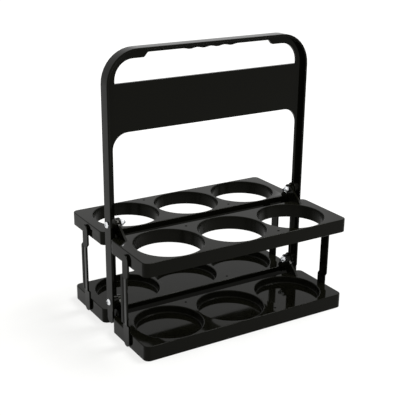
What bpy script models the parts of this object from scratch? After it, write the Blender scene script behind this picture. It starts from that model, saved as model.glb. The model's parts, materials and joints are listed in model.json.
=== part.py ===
"""Folding six-cup carrier: a handle frame with two levels of trays hinged on each side of it.

X runs along the length, the front is towards -Y, and Z is up from the surface it stands on.
"""
import math

import bmesh
import bpy
from mathutils import Matrix, Vector

# Trays, the same plan on both levels
TRAY_LENGTH = 0.2600
TRAY_CORNER = 0.0065
TRAY_WALL = 0.0022
DECK_THICKNESS = 0.0022
DECK_EDGE_ROUND = 0.0009
BASE_EASE = 0.0003
LOWER_BASE_Z = 0
LOWER_HEIGHT = 0.0170
UPPER_BASE_Z = 0.0950
UPPER_HEIGHT = 0.0155

# Cup holes along the length, with land between them and round them
CUPS_PER_TRAY = 3
CUP_LAND = 0.0050
CUP_END_LAND = 0.0125
CUP_SIDE_LAND = 0.00275
CUP_DRAFT = 0.0007
CUP_LIP = 0.0010
CUP_RING_WALL = 0.0030
FLOOR_RISE = 0.0086
FLOOR_THICKNESS = 0.0022
FLOOR_FILLET = 0.0015

# Small drain holes, off the line of the cups by this share of the bore
DRAIN_BORE = 0.0030
DRAIN_OFFSET_SHARE = 0.42

# Leg channel in one end of each upper tray
CHANNEL_DEPTH = 0.0008
CHANNEL_ROOF = 0.0053
CHANNEL_INSET = 0.0055
CHANNEL_ROUND = 0.0050

# Pivots and ears
UPPER_PIVOT_RISE = 0.0119
LOWER_PIVOT_RISE = 0.0139
EAR_THICKNESS = 0.0025
EAR_HEAD_RADIUS = 0.0058
EAR_RUN_FRONT = 0.0153
EAR_RUN_REAR = 0.0075
EAR_FOOT_DROP = 0.0090
EAR_EMBED = 0.0010
EAR_GAP = 0.0003
PIVOT_BORE = 0.0046

# Handle frame, just inside the trays' ends
HANDLE_TOP_Z = 0.3100
HANDLE_FOOT_Z = 0.0055
HANDLE_CORNER = 0.0365
POST_INSET = 0.0027
TRAY_CLEARANCE = 0.0021
FLANGE_THICKNESS = 0.0025
FLANGE_DEPTH = 0.0148
FLANGE_EDGE = 0.0005
WEB_THICKNESS = 0.0030
WEB_STEP = 0.0004
WEB_FOOT_STEP = 0.0005
WEB_EMBED = 0.0012
BOSS_LENGTH = 0.0085
BOSS_INSET = 0.0002
FOOT_HEIGHT = 0.0160
FOOT_STEP = 0.0012
FOOT_SHOULDER_RISE = 0.0012
FOOT_ROUND_SHARE = 0.8

# Panel, window and grip
PANEL_HEIGHT = 0.0523
PANEL_FLARE = 0.0180
WINDOW_SIDE = 0.0118
WINDOW_DROP = 0.0111
WINDOW_HEIGHT = 0.0246
WINDOW_CORNER_SHARE = 0.874
GRIP_THICKNESS = 0.0060
GRIP_WIDTH_SHARE = 0.68
GRIP_STEP_LENGTH = 0.0060
FINGER_WAVES_SHARE = 0.438
FINGER_HEIGHT = 0.0013
FINGER_LOBES = 4

# End links
LINK_WIDTH = 0.0130
LINK_THICKNESS = 0.0022
LINK_BOW = 0.0020
LINK_GAP = 0.0003
LINK_PIN_DROP = 0.0229
LINK_END_BEYOND_PIN = 0.0070
LINK_JOG_LENGTH = 0.0022
LINK_JOG_BELOW_UPPER_PIN = 0.0165
LINK_JOG_ABOVE_LOWER_PIN = 0.0190
LINK_EDGE = 0.0004
LINK_TIP_SHARE = 0.25
LINK_GROOVE_WIDTH = 0.0030
LINK_GROOVE_DEPTH = 0.0007
PEG_DIAMETER = 0.0050
PEG_CLEARANCE = 0.0003
PEG_HEAD_RIM = 0.0008
PEG_HEAD_LENGTH = 0.0016
PEG_SLOT_WIDTH = 0.0010

# Screws and nuts
SCREW_CLEARANCE = 0.0006
SCREW_BEYOND_NUT = 0.0020
SCREW_TIP_CHAMFER = 0.0004
SCREW_HEAD_DIAMETER = 0.0072
SCREW_HEAD_HEIGHT = 0.0026
SCREW_HEAD_RIM = 0.0009
SCREW_DOME_SHARES = ((0.93, 0.5), (0.74, 0.8), (0.42, 0.96))
SCREW_RECESS_LENGTH = 0.0042
SCREW_RECESS_WIDTH = 0.0010
SCREW_RECESS_DEPTH = 0.0013
SEAT_GAP = 0.0001
THREAD_GAP = 0.00005
NUT_ACROSS_FLATS = 0.0070
NUT_HEX_HEIGHT = 0.0034
NUT_COLLAR_WALL = 0.0011
NUT_COLLAR_HEIGHT = 0.0014
NUT_CHAMFER = 0.0005

# How far a cutter passes the face it opens
CUT_PAST = 0.0020

CUP_STEPS = 44
RING_STEPS = 28
CORNER_STEPS = 5
EDGE_STEPS = 2
PIVOT_STEPS = 20
PEG_STEPS = 16
BEND_STEPS = 10
SMOOTH_ANGLE = math.radians(35)
FLAT_ANGLE = math.radians(0.1)
WELD_DISTANCE = 0.000001

# Tray plan
TRAY_HALF_LENGTH = TRAY_LENGTH / 2
CUP_PITCH = (TRAY_LENGTH + CUP_LAND - 2 * CUP_END_LAND) / CUPS_PER_TRAY
CUP_BORE = CUP_PITCH - CUP_LAND
TRAY_INNER_Y = FLANGE_DEPTH / 2 + TRAY_CLEARANCE
TRAY_OUTER_Y = TRAY_INNER_Y + CUP_BORE + 2 * CUP_SIDE_LAND
CUP_CENTRE_Y = (TRAY_INNER_Y + TRAY_OUTER_Y) / 2
CUP_CENTRES_X = [CUP_PITCH * (index - (CUPS_PER_TRAY - 1) / 2) for index in range(CUPS_PER_TRAY)]
DRAIN_OFFSET = CUP_BORE * DRAIN_OFFSET_SHARE

# Levels
LOWER_DECK_Z = LOWER_BASE_Z + LOWER_HEIGHT
UPPER_DECK_Z = UPPER_BASE_Z + UPPER_HEIGHT
LOWER_PIVOT_Z = LOWER_DECK_Z + LOWER_PIVOT_RISE
UPPER_PIVOT_Z = UPPER_DECK_Z + UPPER_PIVOT_RISE
LOWER_PIN_Z = LOWER_PIVOT_Z - LINK_PIN_DROP
UPPER_PIN_Z = UPPER_PIVOT_Z - LINK_PIN_DROP
RECESS_FLOOR_Z = LOWER_BASE_Z + FLOOR_RISE
CHANNEL_TOP_Z = UPPER_DECK_Z - CHANNEL_ROOF
WINDOW_TOP_Z = HANDLE_TOP_Z - WINDOW_DROP
GRIP_BASE_Z = HANDLE_TOP_Z - GRIP_THICKNESS
PANEL_TOP_Z = WINDOW_TOP_Z - WINDOW_HEIGHT
PANEL_BASE_Z = PANEL_TOP_Z - PANEL_HEIGHT

# Handle frame from the trays' ends inwards
HANDLE_HALF_WIDTH = TRAY_HALF_LENGTH - POST_INSET
BOSS_INNER_X = HANDLE_HALF_WIDTH - BOSS_LENGTH
BOSS_RADIUS = FLANGE_DEPTH / 2 - BOSS_INSET
WEB_INNER_X = BOSS_INNER_X + WEB_STEP
WEB_FOOT_Z = HANDLE_FOOT_Z + WEB_FOOT_STEP
WINDOW_HALF_WIDTH = HANDLE_HALF_WIDTH - WINDOW_SIDE
WINDOW_CORNER = WINDOW_HEIGHT * WINDOW_CORNER_SHARE
GRIP_HALF_WIDTH = WINDOW_HALF_WIDTH * GRIP_WIDTH_SHARE
FINGER_PITCH = 2 * GRIP_HALF_WIDTH * FINGER_WAVES_SHARE / FINGER_LOBES
OUTER_EAR_X = BOSS_INNER_X - EAR_GAP
INNER_EAR_X = OUTER_EAR_X - EAR_THICKNESS - EAR_GAP

# Fits
LINK_CENTRE_Y = CUP_CENTRE_Y
PEG_HEAD_DIAMETER = PEG_DIAMETER + 2 * PEG_HEAD_RIM
SCREW_DIAMETER = PIVOT_BORE - SCREW_CLEARANCE
NUT_COLLAR_DIAMETER = SCREW_DIAMETER + 2 * NUT_COLLAR_WALL
NUT_SEAT_X = INNER_EAR_X - EAR_THICKNESS - SEAT_GAP
NUT_COLLAR_X = NUT_SEAT_X - NUT_HEX_HEIGHT
NUT_END_X = NUT_COLLAR_X - NUT_COLLAR_HEIGHT
SCREW_TIP_X = NUT_END_X - SCREW_BEYOND_NUT
HALF_TURN = Matrix.Rotation(math.pi, 4, "Z")

parts = None
cutters = None


def clear_scene():
    for item in list(bpy.data.objects):
        bpy.data.objects.remove(item, do_unlink=True)


def make_collection(name):
    group = bpy.data.collections.new(name)
    bpy.context.scene.collection.children.link(group)
    return group


def make_material(name, colour, metallic, roughness):
    material = bpy.data.materials.new(name)
    material.use_nodes = True
    shader = material.node_tree.nodes["Principled BSDF"]
    shader.inputs["Base Color"].default_value = (*colour, 1)
    shader.inputs["Metallic"].default_value = metallic
    shader.inputs["Roughness"].default_value = roughness
    return material


def add_body(name, mesh_data, group, origin, turn):
    """Put a bmesh in the scene. turn is applied first, then the origin is moved to its joint axis."""
    bmesh.ops.recalc_face_normals(mesh_data, faces=mesh_data.faces)
    mesh_data.transform(Matrix.Translation(-Vector(origin)) @ turn)
    mesh = bpy.data.meshes.new(name)
    mesh_data.to_mesh(mesh)
    mesh_data.free()
    item = bpy.data.objects.new(name, mesh)
    item.location = origin
    group.objects.link(item)
    if group is cutters:
        item.hide_render = True
        item.display_type = "WIRE"
    return item


def mesh_of(guide, place):
    """What a curve or a modifier makes, welded along its seams and put in place. The guide is removed."""
    cutters.objects.link(guide)
    made = guide.evaluated_get(bpy.context.evaluated_depsgraph_get())
    mesh = bpy.data.meshes.new_from_object(made)
    mesh_data = bmesh.new()
    mesh_data.from_mesh(mesh)
    bmesh.ops.remove_doubles(mesh_data, verts=mesh_data.verts, dist=WELD_DISTANCE)
    bmesh.ops.dissolve_limit(
        mesh_data, angle_limit=FLAT_ANGLE, verts=mesh_data.verts, edges=mesh_data.edges,
    )
    mesh_data.transform(place)
    bpy.data.batch_remove((guide, guide.data, mesh))
    return mesh_data


def facing(axis, centre, level):
    """Turns what is drawn flat to face along an axis, at a centre given in the two other axes."""
    turns = {
        "X": Matrix.Rotation(math.tau / 3, 4, Vector((1, 1, 1))),
        "Y": Matrix.Rotation(math.tau / 4, 4, "X"),
        "Z": Matrix(),
    }
    place = list(centre)
    place.insert("XYZ".index(axis), level)
    return Matrix.Translation(place) @ turns[axis]


def plate(outline, axis, low, high):
    """A filled outline given in the two other axes, in X, Y, Z order, as thick as low to high."""
    curve = bpy.data.curves.new("outline", "CURVE")
    curve.dimensions = "2D"
    curve.fill_mode = "BOTH"
    curve.extrude = (high - low) / 2
    line = curve.splines.new("POLY")
    line.points.add(len(outline) - 1)
    for point, pair in zip(line.points, outline):
        point.co = (*pair, 0, 1)
    line.use_cyclic_u = True
    guide = bpy.data.objects.new("outline", curve)
    return mesh_of(guide, facing(axis, (0, 0), (low + high) / 2))


def turned(profile, axis, centre, steps):
    """A body turned about an axis. The profile holds pairs of radius and place along the axis."""
    mesh = bpy.data.meshes.new("profile")
    edges = [(index, index + 1) for index in range(len(profile) - 1)]
    mesh.from_pydata([(radius, 0, along) for radius, along in profile], edges, [])
    guide = bpy.data.objects.new("profile", mesh)
    screw = guide.modifiers.new("turn", "SCREW")
    screw.steps = steps
    screw.render_steps = steps
    screw.use_merge_vertices = True
    screw.merge_threshold = WELD_DISTANCE
    half_step = Matrix.Rotation(math.pi / steps, 4, "Z")
    return mesh_of(guide, facing(axis, centre, 0) @ half_step)


def rod(radius, axis, centre, low, high, steps):
    mesh_data = bmesh.new()
    half_step = Matrix.Rotation(math.pi / steps, 4, "Z")
    place = facing(axis, centre, (low + high) / 2) @ half_step
    bmesh.ops.create_cone(
        mesh_data, cap_ends=True, segments=steps, radius1=radius, radius2=radius, depth=high - low,
        matrix=place,
    )
    return mesh_data


def block(low, high):
    """A box between two opposite corners."""
    low = Vector(low)
    high = Vector(high)
    mesh_data = bmesh.new()
    scale = Matrix.Diagonal((*(high - low), 1))
    bmesh.ops.create_cube(mesh_data, size=1, matrix=Matrix.Translation((low + high) / 2) @ scale)
    return mesh_data


def loft(rings):
    """A closed body through rings of equal point counts."""
    mesh_data = bmesh.new()
    loops = [[mesh_data.verts.new(point) for point in ring] for ring in rings]
    for below, above in zip(loops, loops[1:]):
        count = len(below)
        for index in range(count):
            following = (index + 1) % count
            mesh_data.faces.new((below[index], below[following], above[following], above[index]))
    mesh_data.faces.new(loops[0])
    mesh_data.faces.new(loops[-1])
    return mesh_data


def ease_rim(mesh_data, level, width, steps):
    """Round or ease the edges round a body's top or bottom."""
    rim = []
    for edge in mesh_data.edges:
        at_level = all(abs(end.co.z - level) < WELD_DISTANCE for end in edge.verts)
        if at_level and edge.calc_face_angle(0) > FLAT_ANGLE:
            rim.append(edge)
    bmesh.ops.bevel(mesh_data, geom=rim, offset=width, segments=steps, affect="EDGES", profile=0.5)


def arc(centre, radius, start, finish, steps):
    """Points of an arc, angles in degrees, both ends included."""
    points = []
    for index in range(steps + 1):
        angle = math.radians(start + (finish - start) * index / steps)
        points.append((centre[0] + radius * math.cos(angle), centre[1] + radius * math.sin(angle)))
    return points


def tray_outline(inset):
    """Plan of a tray with round corners. The corners keep their centres as the plan is inset."""
    low_y = TRAY_INNER_Y + TRAY_CORNER
    high_y = TRAY_OUTER_Y - TRAY_CORNER
    side_x = TRAY_HALF_LENGTH - TRAY_CORNER
    radius = TRAY_CORNER - inset
    corners = [(side_x, high_y), (-side_x, high_y), (-side_x, low_y), (side_x, low_y)]
    points = []
    for number, corner in enumerate(corners):
        points += arc(corner, radius, 90 * number, 90 * number + 90, CORNER_STEPS)
    return points


def gather(bodies):
    """One mesh from several bodies that stay clear of each other."""
    whole = bmesh.new()
    for body in bodies:
        carrier = bpy.data.meshes.new("gathered")
        body.to_mesh(carrier)
        body.free()
        whole.from_mesh(carrier)
        bpy.data.meshes.remove(carrier)
    return whole


def apply_tool(target, tool, operation):
    step = target.modifiers.new(tool.name, "BOOLEAN")
    step.operation = operation
    step.solver = "EXACT"
    step.object = tool


def cut(target, name, mesh_data, turn=Matrix()):
    apply_tool(target, add_body(name, mesh_data, cutters, (0, 0, 0), turn), "DIFFERENCE")


def join(target, name, mesh_data, turn=Matrix()):
    apply_tool(target, add_body(name, mesh_data, cutters, (0, 0, 0), turn), "UNION")


def keep_inside(target, name, mesh_data, turn=Matrix()):
    apply_tool(target, add_body(name, mesh_data, cutters, (0, 0, 0), turn), "INTERSECT")


def finish_body(item, material):
    """Make the modifiers' result the mesh, so its edges can be marked sharp by angle."""
    bpy.context.view_layer.update()
    result = bpy.data.meshes.new_from_object(item.evaluated_get(bpy.context.evaluated_depsgraph_get()))
    item.modifiers.clear()
    result.name = item.name
    item.data = result
    result.materials.clear()
    result.materials.append(material)
    result.shade_smooth()
    result.set_sharp_from_angle(angle=SMOOTH_ANGLE)


def tray_block(base_z, deck_z):
    """Outer form of a tray, with its top edge rounded and its bottom edge just eased."""
    mesh_data = plate(tray_outline(0), "Z", base_z, deck_z)
    ease_rim(mesh_data, deck_z, DECK_EDGE_ROUND, EDGE_STEPS)
    ease_rim(mesh_data, base_z, BASE_EASE, 1)
    return mesh_data


def pocket_block(base_z, deck_z):
    return plate(tray_outline(TRAY_WALL), "Z", base_z - CUT_PAST, deck_z - DECK_THICKNESS)


def cup_tool(cup_x, bottom, deck_z):
    """Cutter of one cup hole, opening by its draft to a rounded lip. bottom starts the profile."""
    rim = CUP_BORE / 2 + CUP_DRAFT + CUP_LIP
    lip = arc((rim, deck_z - CUP_LIP), CUP_LIP, 180, 90, EDGE_STEPS)
    top = deck_z + CUT_PAST
    profile = list(bottom) + lip + [(rim, top), (0, top)]
    return turned(profile, "Z", (cup_x, CUP_CENTRE_Y), CUP_STEPS)


def through_bottom(base_z):
    radius = CUP_BORE / 2
    lip = arc((radius + BASE_EASE, base_z + BASE_EASE), BASE_EASE, 270, 180, 1)
    return [(0, base_z - CUT_PAST), (radius + BASE_EASE, base_z - CUT_PAST)] + lip


def floor_bottom():
    radius = CUP_BORE / 2
    fillet = arc((radius - FLOOR_FILLET, RECESS_FLOOR_Z + FLOOR_FILLET), FLOOR_FILLET, 270, 360, EDGE_STEPS)
    return [(0, RECESS_FLOOR_Z)] + fillet


def touch_point(point, centre, radius, side):
    """Angle in degrees of the tangent from a point to a circle, on the side given by its sign."""
    across = point[0] - centre[0]
    up = point[1] - centre[1]
    swing = math.acos(radius / math.hypot(across, up))
    return math.degrees(math.atan2(up, across) + side * swing)


def ear_outline(pivot_z, deck_z, run):
    """Ear in Y and Z: sloped outer edge, round head, and a web down to the tray's inner wall."""
    slope_end = (TRAY_INNER_Y + run, deck_z)
    foot = (TRAY_INNER_Y + EAR_EMBED, deck_z - EAR_FOOT_DROP)
    centre = (0, pivot_z)
    start = touch_point(slope_end, centre, EAR_HEAD_RADIUS, 1)
    finish = touch_point(foot, centre, EAR_HEAD_RADIUS, -1) + 360
    head = arc(centre, EAR_HEAD_RADIUS, start, finish, BEND_STEPS * 2)
    embedded = [(TRAY_INNER_Y + EAR_EMBED, deck_z - EAR_EMBED), (TRAY_INNER_Y + run, deck_z - EAR_EMBED)]
    return [slope_end] + head + [foot] + embedded


def channel_outline():
    """Leg channel in Y and Z, open at the bottom and round at its upper inner corner."""
    start_y = TRAY_INNER_Y + CHANNEL_INSET
    corner = (start_y + CHANNEL_ROUND, CHANNEL_TOP_Z - CHANNEL_ROUND)
    end_y = LINK_CENTRE_Y + LINK_WIDTH / 2
    points = [(end_y, UPPER_BASE_Z - CUT_PAST), (end_y, CHANNEL_TOP_Z)]
    points += arc(corner, CHANNEL_ROUND, 90, 180, CORNER_STEPS)
    points.append((start_y, UPPER_BASE_Z - CUT_PAST))
    return points


def build_tray(name, turn, upper, ear_run, material):
    """Built as the rear tray, then turned half a turn for the front."""
    base_z = UPPER_BASE_Z if upper else LOWER_BASE_Z
    deck_z = UPPER_DECK_Z if upper else LOWER_DECK_Z
    pivot_z = UPPER_PIVOT_Z if upper else LOWER_PIVOT_Z
    pin_z = UPPER_PIN_Z if upper else LOWER_PIN_Z
    tray = add_body(name, tray_block(base_z, deck_z), parts, (0, 0, pivot_z), turn)
    pocket = add_body(name + "_pocket", pocket_block(base_z, deck_z), cutters, (0, 0, 0), turn)
    ring_radius = CUP_BORE / 2 + CUP_DRAFT + CUP_RING_WALL
    for number, cup_x in enumerate(CUP_CENTRES_X, 1):
        below = base_z - 2 * CUT_PAST
        ring = rod(ring_radius, "Z", (cup_x, CUP_CENTRE_Y), below, deck_z, RING_STEPS)
        cut(pocket, f"{name}_ring_{number}", ring, turn)
    apply_tool(tray, pocket, "DIFFERENCE")
    ears = []
    holes = []
    for ear_x in (OUTER_EAR_X, -INNER_EAR_X):
        low, high = sorted((ear_x, ear_x - math.copysign(EAR_THICKNESS, ear_x)))
        ears.append(plate(ear_outline(pivot_z, deck_z, ear_run), "X", low, high))
        holes.append(rod(PIVOT_BORE / 2, "X", (0, pivot_z), low - CUT_PAST, high + CUT_PAST, PIVOT_STEPS))
    join(tray, name + "_ears", gather(ears), turn)
    bottom = through_bottom(base_z) if upper else floor_bottom()
    for cup_x in CUP_CENTRES_X:
        holes.append(cup_tool(cup_x, bottom, deck_z))
        if not upper:
            under_z = RECESS_FLOOR_Z - FLOOR_THICKNESS
            centre = (cup_x, CUP_CENTRE_Y)
            holes.append(rod(CUP_BORE / 2, "Z", centre, base_z - CUT_PAST, under_z, RING_STEPS))
    for side in (-1, 1):
        drain = (side * CUP_PITCH / 2, CUP_CENTRE_Y - side * DRAIN_OFFSET)
        low = deck_z - DECK_THICKNESS - CUT_PAST
        holes.append(rod(DRAIN_BORE / 2, "Z", drain, low, deck_z + CUT_PAST, PEG_STEPS))
        wall_x = side * (TRAY_HALF_LENGTH - TRAY_WALL / 2)
        low = wall_x - TRAY_WALL / 2 - CUT_PAST
        high = wall_x + TRAY_WALL / 2 + CUT_PAST
        radius = PEG_DIAMETER / 2 + PEG_CLEARANCE
        holes.append(rod(radius, "X", (LINK_CENTRE_Y, pin_z), low, high, PEG_STEPS))
    cut(tray, name + "_holes", gather(holes), turn)
    if upper:
        outside = -TRAY_HALF_LENGTH - CUT_PAST
        channel = plate(channel_outline(), "X", outside, CHANNEL_DEPTH - TRAY_HALF_LENGTH)
        cut(tray, name + "_channel", channel, turn)
    finish_body(tray, material)


def frame_path(inset, foot_z):
    """The frame's outline in X and Z, up the left post, over the top and down the right post."""
    side = HANDLE_HALF_WIDTH - inset
    centre_x = HANDLE_HALF_WIDTH - HANDLE_CORNER
    centre_z = HANDLE_TOP_Z - HANDLE_CORNER
    radius = HANDLE_CORNER - inset
    left = arc((-centre_x, centre_z), radius, 180, 90, BEND_STEPS)
    right = arc((centre_x, centre_z), radius, 90, 0, BEND_STEPS)
    return [(-side, foot_z)] + left + right + [(side, foot_z)]


def web_outline():
    """Outer line hidden in the flange, inner line down the posts and across under the panel."""
    flare_x = WEB_INNER_X - PANEL_FLARE
    flare_z = PANEL_BASE_Z - PANEL_FLARE
    right = arc((flare_x, flare_z), PANEL_FLARE, 0, 90, BEND_STEPS)
    left = arc((-flare_x, flare_z), PANEL_FLARE, 90, 180, BEND_STEPS)
    inner = [(WEB_INNER_X, WEB_FOOT_Z)] + right + left + [(-WEB_INNER_X, WEB_FOOT_Z)]
    return frame_path(WEB_EMBED, WEB_FOOT_Z) + inner


def grip_underside(x):
    """Height of the grip's underside: a step up from the window's top, then finger waves in the middle."""
    from_step = (GRIP_HALF_WIDTH - abs(x)) / GRIP_STEP_LENGTH + 0.5
    share = min(max(from_step, 0), 1)
    z = WINDOW_TOP_Z + (GRIP_BASE_Z - WINDOW_TOP_Z) * share * share * (3 - 2 * share)
    if abs(x) < FINGER_LOBES * FINGER_PITCH / 2:
        wave = 1 - math.cos(math.tau * x / FINGER_PITCH)
        z -= FINGER_HEIGHT * wave / 2
    return z


def grip_stations():
    """Places along the grip, from left to right, close together where its underside changes."""
    stations = []
    for index in range(BEND_STEPS // 2 + 1):
        stations.append(-GRIP_HALF_WIDTH + GRIP_STEP_LENGTH * (index / (BEND_STEPS // 2) - 0.5))
    waves = FINGER_LOBES * FINGER_PITCH
    count = FINGER_LOBES * BEND_STEPS // 2
    for index in range(count + 1):
        stations.append(waves * (index / count - 0.5))
    return stations + [-x for x in reversed(stations[:BEND_STEPS // 2 + 1])]


def window_outline():
    centre_x = WINDOW_HALF_WIDTH - WINDOW_CORNER
    centre_z = WINDOW_TOP_Z - WINDOW_CORNER
    left = arc((-centre_x, centre_z), WINDOW_CORNER, 180, 90, BEND_STEPS)
    right = arc((centre_x, centre_z), WINDOW_CORNER, 90, 0, BEND_STEPS)
    underside = [(x, grip_underside(x)) for x in grip_stations()]
    corners = [(WINDOW_HALF_WIDTH, PANEL_TOP_Z), (-WINDOW_HALF_WIDTH, PANEL_TOP_Z)]
    return left + underside + right + corners


def foot_outline():
    """Side view of the frame in Y and Z: narrower at the foot of the posts, with round corners."""
    wide = FLANGE_DEPTH / 2 + CUT_PAST
    narrow = FLANGE_DEPTH / 2 - FOOT_STEP
    shoulder_z = HANDLE_FOOT_Z + FOOT_HEIGHT
    above = shoulder_z + FOOT_SHOULDER_RISE * (1 + CUT_PAST / FOOT_STEP)
    radius = narrow * FOOT_ROUND_SHARE
    centre = (narrow - radius, HANDLE_FOOT_Z + radius)
    right = [(wide, HANDLE_TOP_Z + CUT_PAST), (wide, above), (narrow, shoulder_z)]
    right += arc(centre, radius, 0, -90, CORNER_STEPS)
    return right + [(-y, z) for y, z in reversed(right)]


def build_handle(material):
    foot_z = HANDLE_FOOT_Z - CUT_PAST
    flange = frame_path(0, foot_z) + frame_path(FLANGE_THICKNESS, foot_z)[::-1]
    handle = add_body(
        "handle_frame", plate(flange, "Y", -FLANGE_DEPTH / 2, FLANGE_DEPTH / 2), parts, (0, 0, 0), Matrix(),
    )
    ease = handle.modifiers.new("flange_edges", "BEVEL")
    ease.width = FLANGE_EDGE
    ease.segments = EDGE_STEPS
    ease.limit_method = "ANGLE"
    ease.angle_limit = SMOOTH_ANGLE
    past_sides = HANDLE_HALF_WIDTH + CUT_PAST
    keep_inside(handle, "handle_side_view", plate(foot_outline(), "X", -past_sides, past_sides))
    half_web = WEB_THICKNESS / 2
    join(handle, "handle_web", plate(web_outline(), "Y", -half_web, half_web))
    bosses = []
    for side in (-1, 1):
        ends = sorted((side * BOSS_INNER_X, side * (HANDLE_HALF_WIDTH - WEB_EMBED)))
        bosses += [rod(BOSS_RADIUS, "X", (0, z), *ends, PIVOT_STEPS) for z in (UPPER_PIVOT_Z, LOWER_PIVOT_Z)]
    join(handle, "handle_bosses", gather(bosses))
    openings = [plate(window_outline(), "Y", -half_web - CUT_PAST, half_web + CUT_PAST)]
    for pivot_z in (UPPER_PIVOT_Z, LOWER_PIVOT_Z):
        openings.append(rod(PIVOT_BORE / 2, "X", (0, pivot_z), -past_sides, past_sides, PIVOT_STEPS))
    cut(handle, "handle_openings", gather(openings))
    finish_body(handle, material)


def link_section(bow, width_share, groove_share, z):
    """One cross-section of a link at the +X end: eased corners, and a groove down its outer face."""
    inner = TRAY_HALF_LENGTH + LINK_GAP + bow
    outer = inner + LINK_THICKNESS
    half = LINK_WIDTH / 2 * width_share
    eased = half - LINK_EDGE * width_share
    groove = LINK_GROOVE_WIDTH / 2 * width_share
    floor = outer - LINK_GROOVE_DEPTH * groove_share
    right = [(inner, eased), (inner + LINK_EDGE, half), (outer - LINK_EDGE, half), (outer, eased)]
    right += [(outer, groove), (floor, groove - LINK_EDGE * width_share)]
    points = right + [(x, -y) for x, y in reversed(right)]
    return [(x, y + LINK_CENTRE_Y, z) for x, y in points]


def round_end():
    """Pairs of distance from the tip and share of the full width, from the blunt tip inwards."""
    radius = LINK_WIDTH / 2
    tip = math.asin(LINK_TIP_SHARE)
    pairs = []
    for index in range(CORNER_STEPS + 1):
        angle = tip + (math.pi / 2 - tip) * index / CORNER_STEPS
        pairs.append((radius * (math.cos(tip) - math.cos(angle)), math.sin(angle)))
    return pairs


def link_body():
    """Sections from below: round end, flat, jog outwards, long grooved middle, and the same again above."""
    bottom_z = LOWER_PIN_Z - LINK_END_BEYOND_PIN
    top_z = UPPER_PIN_Z + LINK_END_BEYOND_PIN
    low_jog = LOWER_PIN_Z + LINK_JOG_ABOVE_LOWER_PIN
    high_jog = UPPER_PIN_Z - LINK_JOG_BELOW_UPPER_PIN
    half_jog = LINK_JOG_LENGTH / 2
    rings = [link_section(0, share, 0, bottom_z + up) for up, share in round_end()]
    rings.append(link_section(0, 1, 0, low_jog - half_jog))
    rings.append(link_section(LINK_BOW, 1, 0, low_jog + half_jog))
    rings.append(link_section(LINK_BOW, 1, 1, low_jog + LINK_JOG_LENGTH))
    rings.append(link_section(LINK_BOW, 1, 1, high_jog - LINK_JOG_LENGTH))
    rings.append(link_section(LINK_BOW, 1, 0, high_jog - half_jog))
    rings.append(link_section(0, 1, 0, high_jog + half_jog))
    rings += [link_section(0, share, 0, top_z - up) for up, share in reversed(round_end())]
    return loft(rings)


def peg_body(pin_z):
    """Peg with a snap head that sits behind the tray's end wall."""
    root_x = TRAY_HALF_LENGTH + LINK_GAP + LINK_THICKNESS / 2
    head_x = TRAY_HALF_LENGTH - TRAY_WALL - LINK_GAP
    end_x = head_x - PEG_HEAD_LENGTH
    shaft = PEG_DIAMETER / 2
    head = PEG_HEAD_DIAMETER / 2
    middle_x = (head_x + end_x) / 2
    profile = [(0, end_x), (shaft, end_x), (head, middle_x), (head, head_x), (shaft, head_x), (shaft, root_x)]
    return turned(profile + [(0, root_x)], "X", (LINK_CENTRE_Y, pin_z), PEG_STEPS)


def peg_slot(pin_z):
    """Slot that lets the peg's halves spring together."""
    half = PEG_SLOT_WIDTH / 2
    reach = PEG_HEAD_DIAMETER
    inner_x = TRAY_HALF_LENGTH - 2 * (TRAY_WALL + CUT_PAST)
    low = (inner_x, LINK_CENTRE_Y - half, pin_z - reach)
    return block(low, (TRAY_HALF_LENGTH, LINK_CENTRE_Y + half, pin_z + reach))


def build_link(name, place, material):
    """Built at the right rear, then moved to its place."""
    origin = place @ Vector((TRAY_HALF_LENGTH, LINK_CENTRE_Y, UPPER_PIN_Z))
    link = add_body(name, link_body(), parts, origin, place)
    pins = (UPPER_PIN_Z, LOWER_PIN_Z)
    join(link, name + "_pegs", gather([peg_body(pin_z) for pin_z in pins]), place)
    cut(link, name + "_peg_slots", gather([peg_slot(pin_z) for pin_z in pins]), place)
    finish_body(link, material)


def screw_body(pivot_z):
    """Pan-head screw at the +X post, from its tip inside the nut out to the dome of its head."""
    shank = SCREW_DIAMETER / 2
    head = SCREW_HEAD_DIAMETER / 2
    seat_x = HANDLE_HALF_WIDTH + SEAT_GAP
    rim_x = seat_x + SCREW_HEAD_RIM
    dome = SCREW_HEAD_HEIGHT - SCREW_HEAD_RIM
    profile = [(0, SCREW_TIP_X), (shank - SCREW_TIP_CHAMFER, SCREW_TIP_X)]
    profile += [(shank, SCREW_TIP_X + SCREW_TIP_CHAMFER), (shank, seat_x), (head, seat_x), (head, rim_x)]
    profile += [(head * across, rim_x + dome * up) for across, up in SCREW_DOME_SHARES]
    profile.append((0, rim_x + dome))
    return turned(profile, "X", (0, pivot_z), PIVOT_STEPS)


def cross_slots(pivot_z):
    """The two crossed slots of the screw's recess."""
    top_x = HANDLE_HALF_WIDTH + SEAT_GAP + SCREW_HEAD_HEIGHT
    long = SCREW_RECESS_LENGTH / 2
    short = SCREW_RECESS_WIDTH / 2
    slots = []
    for across, up in ((long, short), (short, long)):
        low = (top_x - SCREW_RECESS_DEPTH, -across, pivot_z - up)
        slots.append(block(low, (top_x + CUT_PAST, across, pivot_z + up)))
    return slots


def build_screw(name, pivot_z, turn, material):
    screw = add_body(name, screw_body(pivot_z), parts, (0, 0, pivot_z), turn)
    for number, slot in enumerate(cross_slots(pivot_z), 1):
        cut(screw, f"{name}_slot_{number}", slot, turn)
    finish_body(screw, material)


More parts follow.
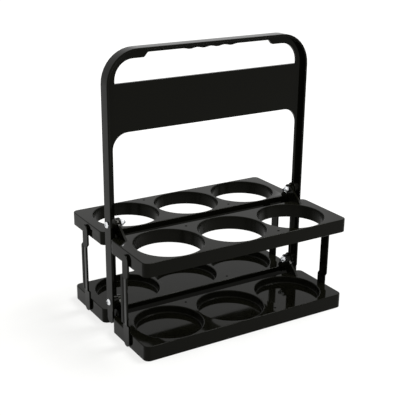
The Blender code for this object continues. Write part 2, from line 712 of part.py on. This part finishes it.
def build_nut(name, pivot_z, turn, material):
    """Hexagon nut with a round collar on its inner side."""
    centre = (0, pivot_z)
    corner = NUT_ACROSS_FLATS / math.sqrt(3)
    hexagon = arc(centre, corner, 0, 300, 5)
    hex_end = NUT_COLLAR_X
    nut = add_body(name, plate(hexagon, "X", hex_end, NUT_SEAT_X), parts, (0, 0, pivot_z), turn)
    flat = NUT_ACROSS_FLATS / 2
    wide = corner + NUT_CHAMFER
    envelope = [(0, hex_end - CUT_PAST), (flat, hex_end - CUT_PAST), (flat, hex_end)]
    envelope += [(wide, hex_end + (wide - flat) / 2), (wide, NUT_SEAT_X - (wide - flat) / 2)]
    envelope += [(flat, NUT_SEAT_X), (flat, NUT_SEAT_X + CUT_PAST), (0, NUT_SEAT_X + CUT_PAST)]
    keep_inside(nut, name + "_chamfer", turned(envelope, "X", centre, PIVOT_STEPS), turn)
    collar = NUT_COLLAR_DIAMETER / 2
    profile = [(0, NUT_END_X), (collar - NUT_CHAMFER, NUT_END_X), (collar, NUT_END_X + NUT_CHAMFER)]
    profile += [(collar, hex_end + NUT_CHAMFER), (0, hex_end + NUT_CHAMFER)]
    join(nut, name + "_collar", turned(profile, "X", centre, PIVOT_STEPS), turn)
    bore = SCREW_DIAMETER / 2 + THREAD_GAP
    hole = rod(bore, "X", centre, NUT_END_X - CUT_PAST, NUT_SEAT_X + CUT_PAST, PIVOT_STEPS)
    cut(nut, name + "_bore", hole, turn)
    finish_body(nut, material)


def build_carrier():
    moulded = make_material("black moulded plastic", (0.016, 0.016, 0.017), 0, 0.28)
    zinc = make_material("zinc plated steel", (0.72, 0.73, 0.75), 1, 0.22)
    ahead = Matrix.Translation((0, -2 * LINK_CENTRE_Y, 0))
    behind = Matrix.Translation((0, 2 * LINK_CENTRE_Y, 0))
    build_handle(moulded)
    for upper, label in ((True, "upper"), (False, "lower")):
        build_tray(label + "_rear_tray", Matrix(), upper, EAR_RUN_REAR, moulded)
        build_tray(label + "_front_tray", HALF_TURN, upper, EAR_RUN_FRONT, moulded)
    build_link("rear_right_link", Matrix(), moulded)
    build_link("front_right_link", ahead, moulded)
    build_link("front_left_link", HALF_TURN, moulded)
    build_link("rear_left_link", behind @ HALF_TURN, moulded)
    for pivot_z, label in ((UPPER_PIVOT_Z, "upper"), (LOWER_PIVOT_Z, "lower")):
        for turn, side in ((HALF_TURN, "left"), (Matrix(), "right")):
            build_screw(f"{label}_{side}_screw", pivot_z, turn, zinc)
            build_nut(f"{label}_{side}_nut", pivot_z, turn, zinc)


clear_scene()
parts = make_collection("Cup carrier")
cutters = make_collection("Cutters")
build_carrier()
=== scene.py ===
"""Looks, studio and camera for the folding six-cup carrier."""

import json
import math

import bmesh
import bpy
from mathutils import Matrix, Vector


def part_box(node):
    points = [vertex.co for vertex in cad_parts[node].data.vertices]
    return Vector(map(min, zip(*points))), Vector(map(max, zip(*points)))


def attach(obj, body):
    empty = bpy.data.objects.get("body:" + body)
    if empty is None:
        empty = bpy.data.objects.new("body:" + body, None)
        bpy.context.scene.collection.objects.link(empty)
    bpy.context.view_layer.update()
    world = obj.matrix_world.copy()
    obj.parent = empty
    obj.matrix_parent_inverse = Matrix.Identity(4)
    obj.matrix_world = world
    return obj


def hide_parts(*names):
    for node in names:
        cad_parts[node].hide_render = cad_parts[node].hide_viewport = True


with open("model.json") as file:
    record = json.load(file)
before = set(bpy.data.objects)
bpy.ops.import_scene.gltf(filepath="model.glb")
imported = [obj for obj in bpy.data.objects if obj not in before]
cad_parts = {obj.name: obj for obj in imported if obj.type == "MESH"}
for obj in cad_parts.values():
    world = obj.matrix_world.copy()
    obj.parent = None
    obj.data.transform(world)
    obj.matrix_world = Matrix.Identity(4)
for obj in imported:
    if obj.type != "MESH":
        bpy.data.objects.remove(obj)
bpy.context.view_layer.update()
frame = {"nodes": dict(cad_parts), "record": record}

# The photograph's viewpoint
CAMERA_PLACE = Vector((-0.4981, -0.7900, 0.4587))
CAMERA_AHEAD = Vector((0.4708, 0.8142, -0.3397))
CAMERA_LENS = 75.13
CAMERA_SHIFT = (0.075, -0.006)
CAMERA_NEAREST = 0.01

# Faintly warm light from all round the studio, and the softbox over the right end
WHITE = (1, 1, 1, 1)
STUDIO_LIGHT = (0.73, 0.73, 0.67, 1)
SOFTBOX_PLACE = Vector((0.60, -0.10, 1.25))
SOFTBOX_AIM = Vector((0, 0, 0.1))
SOFTBOX_SIZE = 0.56
SOFTBOX_RADIANCE = 15
FLOOR_HALF_SIZE = 30

# A Mix node's sockets for colours share their names with its other sockets, so they go by number
MIX_FACTOR, MIX_COLOUR_A, MIX_COLOUR_B, MIX_COLOUR_RESULT = 0, 6, 7, 2

# Roughness of the two moulded finishes, from untouched to rubbed by handling
POLISHED_ROUGHNESS = (0.04, 0.08)
DRAGGED_ROUGHNESS = (0.22, 0.3)

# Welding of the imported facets, and the angles at which they lie flat or crease
WELD_DISTANCE = 0.000002
FLAT_ANGLE = math.radians(0.3)
CREASE_ANGLE = math.radians(35)

# The wall of a cup hole or recess, with its eased lip and foot, lies within this distance of its axis,
# and none of its faces is as level as the deck or a recess floor
CUP_WALL_REACH = 0.0395
LEVEL_FACE = 0.95
cup_axes = []
for opening in frame["record"]["physics"]["openings"]:
    if opening["name"].endswith("cup_hole"):
        low, high = opening["box_m"]
        cup_axes.append((Vector(low) + Vector(high)).xy / 2)

# Thread and cut end show on a screw past its nut, whose inner face stands this far from the middle
NUT_END_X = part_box("upper_right_nut")[0][0]
END_FACE = 0.9


def linear(code):
    """An sRGB hex colour as the linear colour that a shader takes."""
    values = []
    for start in (1, 3, 5):
        value = int(code[start:start + 2], 16) / 255
        values.append(value / 12.92 if value <= 0.04045 else ((value + 0.055) / 1.055) ** 2.4)
    return (*values, 1)


def add_node(tree, kind, settings=None, inputs=None):
    """A node with its settings. Each input is a value, or an output that it is linked to."""
    node = tree.nodes.new(kind)
    for name, value in (settings or {}).items():
        setattr(node, name, value)
    for name, value in (inputs or {}).items():
        if isinstance(value, bpy.types.NodeSocket):
            tree.links.new(value, node.inputs[name])
        else:
            node.inputs[name].default_value = value
    return node


def new_material(name):
    """A material with an empty node tree."""
    material = bpy.data.materials.new(name)
    material.use_nodes = True
    material.node_tree.nodes.clear()
    return material, material.node_tree


def black_moulded_plastic(name, roughness):
    """Injection-moulded black polypropylene: a dark sheen with slow flow waves and a fine orange peel."""
    material, tree = new_material(name)
    place = add_node(tree, "ShaderNodeTexCoord").outputs["Object"]
    # Slow waves about 30 mm across, left by the melt's flow and shrinkage
    waves = add_node(tree, "ShaderNodeTexNoise", inputs={"Vector": place, "Scale": 33, "Detail": 1})
    # Fine orange peel, about 1 mm, drawn as coarse as the render can show
    peel = add_node(tree, "ShaderNodeTexNoise", inputs={"Vector": place, "Scale": 900, "Detail": 2})
    slow = add_node(
        tree, "ShaderNodeBump", inputs={"Height": waves.outputs["Fac"], "Strength": 0.05, "Distance": 0.0006},
    )
    fine = add_node(
        tree, "ShaderNodeBump",
        inputs={
            "Height": peel.outputs["Fac"], "Strength": 0.03, "Distance": 0.00003,
            "Normal": slow.outputs["Normal"],
        },
    )
    # Handling rubs patches about 20 mm across a little duller
    rubbed = add_node(tree, "ShaderNodeTexNoise", inputs={"Vector": place, "Scale": 50, "Detail": 4})
    dull = add_node(
        tree, "ShaderNodeMapRange",
        inputs={
            "Value": rubbed.outputs["Fac"], "From Min": 0.35, "From Max": 0.75,
            "To Min": roughness[0], "To Max": roughness[1],
        },
    )
    # The low specular level and its warm tint are matched to the photograph's dark, faintly warm gloss
    shader = add_node(
        tree, "ShaderNodeBsdfPrincipled",
        inputs={
            "Base Color": linear("#0B0B07"), "Roughness": dull.outputs["Result"], "IOR": 1.49,
            "Specular IOR Level": 0.07, "Specular Tint": (1, 1, 0.92, 1), "Normal": fine.outputs["Normal"],
        },
    )
    add_node(tree, "ShaderNodeOutputMaterial", inputs={"Surface": shader.outputs["BSDF"]})
    return material


def zinc_plated_steel():
    """Bright zinc plate over turned steel: a pale mirror, broken up by a fine grain."""
    material, tree = new_material("zinc_plated_steel")
    place = add_node(tree, "ShaderNodeTexCoord").outputs["Object"]
    # Grain of the plate, drawn at 0.7 mm, as coarse as the render can show
    grain = add_node(tree, "ShaderNodeTexNoise", inputs={"Vector": place, "Scale": 1400, "Detail": 3})
    uneven = add_node(
        tree, "ShaderNodeMapRange",
        inputs={
            "Value": grain.outputs["Fac"], "From Min": 0.3, "From Max": 0.7, "To Min": 0.16, "To Max": 0.32,
        },
    )
    bump = add_node(
        tree, "ShaderNodeBump", inputs={"Height": grain.outputs["Fac"], "Strength": 0.1, "Distance": 0.00005},
    )
    shader = add_node(
        tree, "ShaderNodeBsdfPrincipled",
        inputs={
            "Base Color": linear("#E6E8EA"), "Metallic": 1, "Roughness": uneven.outputs["Result"],
            "Normal": bump.outputs["Normal"],
        },
    )
    add_node(tree, "ShaderNodeOutputMaterial", inputs={"Surface": shader.outputs["BSDF"]})
    return material


def zinc_thread_groove_shade():
    """Rolled thread under bright zinc: pale crests, and grooves painted greyer as painted shade along the screw.
    """
    material, tree = new_material("zinc_thread_groove_shade")
    place = add_node(tree, "ShaderNodeTexCoord").outputs["Object"]
    # Bands repeat every pi / 10 / Scale, which is the thread's 0.7 mm pitch
    rings = add_node(
        tree, "ShaderNodeTexWave", {"wave_type": "BANDS", "bands_direction": "X"},
        {"Vector": place, "Scale": 449},
    )
    # The grey in the grooves is painted shade that darkens the creases of the thread
    groove_shade = add_node(tree, "ShaderNodeValToRGB", inputs={"Fac": rings.outputs["Fac"]})
    groove_shade.color_ramp.elements[0].color = linear("#8C8E92")
    groove_shade.color_ramp.elements[1].color = linear("#E6E8EA")
    bump = add_node(
        tree, "ShaderNodeBump", inputs={"Height": rings.outputs["Fac"], "Strength": 0.5, "Distance": 0.0003},
    )
    shader = add_node(
        tree, "ShaderNodeBsdfPrincipled",
        inputs={
            "Base Color": groove_shade.outputs["Color"], "Metallic": 1, "Roughness": 0.25,
            "Normal": bump.outputs["Normal"],
        },
    )
    add_node(tree, "ShaderNodeOutputMaterial", inputs={"Surface": shader.outputs["BSDF"]})
    return material


def screw_end_painted_shade():
    """Sheared end of the screw's wire: unplated steel, torn matt, and painted near black as painted shade for the
    dark, shadowed centre of the nut.
    """
    material, tree = new_material("screw_end_painted_shade")
    place = add_node(tree, "ShaderNodeTexCoord").outputs["Object"]
    # Tears of the shear, drawn at 0.7 mm, as coarse as the render can show
    torn = add_node(tree, "ShaderNodeTexNoise", inputs={"Vector": place, "Scale": 1500, "Detail": 3})
    # The ramp paints the cut end near black: painted shade, not the steel's own colour
    painted_shade = add_node(tree, "ShaderNodeValToRGB", inputs={"Fac": torn.outputs["Fac"]})
    painted_shade.color_ramp.elements[0].color = linear("#060609")
    painted_shade.color_ramp.elements[1].color = linear("#1E1E26")
    bump = add_node(
        tree, "ShaderNodeBump", inputs={"Height": torn.outputs["Fac"], "Strength": 0.3, "Distance": 0.0001},
    )
    shader = add_node(
        tree, "ShaderNodeBsdfPrincipled",
        inputs={
            "Base Color": painted_shade.outputs["Color"], "Metallic": 1, "Roughness": 0.5,
            "Normal": bump.outputs["Normal"],
        },
    )
    add_node(tree, "ShaderNodeOutputMaterial", inputs={"Surface": shader.outputs["BSDF"]})
    return material


def seen_directly(tree):
    """1 for rays from the camera, and for those that a mirror or glass passes on."""
    path = add_node(tree, "ShaderNodeLightPath")
    mirrored = add_node(
        tree, "ShaderNodeMath", {"operation": "MAXIMUM"},
        {0: path.outputs["Is Glossy Ray"], 1: path.outputs["Is Transmission Ray"]},
    )
    seen = add_node(
        tree, "ShaderNodeMath", {"operation": "MAXIMUM"},
        {0: path.outputs["Is Camera Ray"], 1: mirrored.outputs["Value"]},
    )
    return seen.outputs["Value"]


def studio_floor_paint():
    """Matt pale paint that shows white, with the faint shadow of what stands on it."""
    material, tree = new_material("studio_floor_paint")
    place = add_node(tree, "ShaderNodeTexCoord").outputs["Object"]
    away = add_node(tree, "ShaderNodeVectorMath", {"operation": "LENGTH"}, {0: place})
    # The floor fades into the white backdrop round the object
    strength = add_node(
        tree, "ShaderNodeMapRange",
        inputs={"Value": away.outputs["Value"], "From Min": 0.2, "From Max": 0.9, "To Min": 0.74, "To Max": 0.92},
    )
    paint = add_node(tree, "ShaderNodeBsdfDiffuse", inputs={"Color": linear("#888888")})
    glow = add_node(
        tree, "ShaderNodeEmission", inputs={"Color": WHITE, "Strength": strength.outputs["Result"]},
    )
    lit = add_node(
        tree, "ShaderNodeAddShader", inputs={0: paint.outputs["BSDF"], 1: glow.outputs["Emission"]},
    )
    shown = add_node(
        tree, "ShaderNodeMixShader",
        inputs={"Fac": seen_directly(tree), 1: paint.outputs["BSDF"], 2: lit.outputs["Shader"]},
    )
    add_node(tree, "ShaderNodeOutputMaterial", inputs={"Surface": shown.outputs["Shader"]})
    return material


def studio_world():
    """An even, faintly warm studio, white where it is seen."""
    world = bpy.data.worlds.new("studio")
    bpy.context.scene.world = world
    world.use_nodes = True
    tree = world.node_tree
    tree.nodes.clear()
    shown = add_node(
        tree, "ShaderNodeMix", {"data_type": "RGBA"},
        {MIX_FACTOR: seen_directly(tree), MIX_COLOUR_A: STUDIO_LIGHT, MIX_COLOUR_B: WHITE},
    )
    sky = add_node(
        tree, "ShaderNodeBackground", inputs={"Color": shown.outputs[MIX_COLOUR_RESULT], "Strength": 1},
    )
    add_node(tree, "ShaderNodeOutputWorld", inputs={"Surface": sky.outputs["Background"]})


def overhead_softbox():
    """A square area lamp that looks evenly bright at its radiance."""
    lamp = bpy.data.lights.new("overhead_softbox", "AREA")
    lamp.shape = "SQUARE"
    lamp.size = SOFTBOX_SIZE
    lamp.energy = SOFTBOX_RADIANCE * math.pi * SOFTBOX_SIZE * SOFTBOX_SIZE
    softbox = bpy.data.objects.new("overhead_softbox", lamp)
    softbox.location = SOFTBOX_PLACE
    softbox.rotation_mode = "QUATERNION"
    softbox.rotation_quaternion = (SOFTBOX_AIM - SOFTBOX_PLACE).to_track_quat("-Z", "Y")
    bpy.context.scene.collection.objects.link(softbox)


def studio_floor():
    """The plain floor that the carrier stands on."""
    mesh_data = bmesh.new()
    bmesh.ops.create_grid(mesh_data, x_segments=1, y_segments=1, size=FLOOR_HALF_SIZE)
    mesh = bpy.data.meshes.new("studio_floor")
    mesh_data.to_mesh(mesh)
    mesh_data.free()
    mesh.materials.append(studio_floor_paint())
    floor = bpy.data.objects.new("studio_floor", mesh)
    bpy.context.scene.collection.objects.link(floor)


def photograph_camera():
    """The camera at the photograph's viewpoint."""
    camera = bpy.data.objects.new("camera", bpy.data.cameras.new("camera"))
    camera.data.lens = CAMERA_LENS
    camera.data.shift_x, camera.data.shift_y = CAMERA_SHIFT
    camera.data.clip_start = CAMERA_NEAREST
    camera.location = CAMERA_PLACE
    camera.rotation_mode = "QUATERNION"
    camera.rotation_quaternion = CAMERA_AHEAD.to_track_quat("-Z", "Y")
    bpy.context.scene.collection.objects.link(camera)
    bpy.context.scene.camera = camera


def tray_finish(face):
    """1 on the wall of a cup hole or cup recess, and 0 elsewhere."""
    centre = face.calc_center_median()
    near = any((centre.xy - axis).length < CUP_WALL_REACH for axis in cup_axes)
    return int(near and abs(face.normal.z) < LEVEL_FACE)


def screw_finish(face):
    """0 on the head and shank, 1 on the thread past the nut, and 2 on the cut end."""
    if abs(face.calc_center_median().x) > NUT_END_X:
        return 0
    return 2 if abs(face.normal.x) > END_FACE else 1


def finished_piece(node, body, finishes, choose=None, split_x=None):
    """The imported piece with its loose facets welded, so that its curves shade smoothly.

    choose gives the number of a face's finish, and split_x is where the finish changes along the piece.
    """
    mesh_data = bmesh.new()
    mesh_data.from_mesh(node.data)
    bmesh.ops.remove_doubles(mesh_data, verts=mesh_data.verts, dist=WELD_DISTANCE)
    bmesh.ops.dissolve_limit(
        mesh_data, angle_limit=FLAT_ANGLE, verts=mesh_data.verts, edges=mesh_data.edges,
    )
    if split_x is not None:
        every = mesh_data.verts[:] + mesh_data.edges[:] + mesh_data.faces[:]
        bmesh.ops.bisect_plane(mesh_data, geom=every, plane_co=(split_x, 0, 0), plane_no=(1, 0, 0))
    if choose:
        for face in mesh_data.faces:
            face.material_index = choose(face)
    mesh = bpy.data.meshes.new(node.name + "_finished")
    mesh_data.to_mesh(mesh)
    mesh_data.free()
    mesh.shade_smooth()
    mesh.set_sharp_from_angle(angle=CREASE_ANGLE)
    for material in finishes:
        mesh.materials.append(material)
    piece = bpy.data.objects.new(mesh.name, mesh)
    bpy.context.scene.collection.objects.link(piece)
    even = piece.modifiers.new("flat_faces_stay_flat", "WEIGHTED_NORMAL")
    even.keep_sharp = True
    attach(piece, body)
    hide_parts(node.name)


bpy.context.scene.view_settings.view_transform = "Standard"

polished = black_moulded_plastic("black_moulded_plastic", POLISHED_ROUGHNESS)
# The steel cores drag along these walls as the moulding leaves them, and dull the gloss
dragged = black_moulded_plastic("core_dragged_plastic", DRAGGED_ROUGHNESS)
steel = zinc_plated_steel()
thread_with_groove_shade = zinc_thread_groove_shade()
cut_end_painted_shade = screw_end_painted_shade()

for body, names in frame["record"]["behaviour"]["bodies"].items():
    for name in names:
        node = frame["nodes"][name]
        if name.endswith("_nut"):
            finished_piece(node, body, [steel])
        elif name.endswith("_screw"):
            split_x = math.copysign(NUT_END_X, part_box(name)[0][0])
            finished_piece(node, body, [steel, thread_with_groove_shade, cut_end_painted_shade], screw_finish, split_x)
        elif name.endswith("_tray"):
            finished_piece(node, body, [polished, dragged], tray_finish)
        else:
            finished_piece(node, body, [polished])

studio_floor()
studio_world()
overhead_softbox()
photograph_camera()
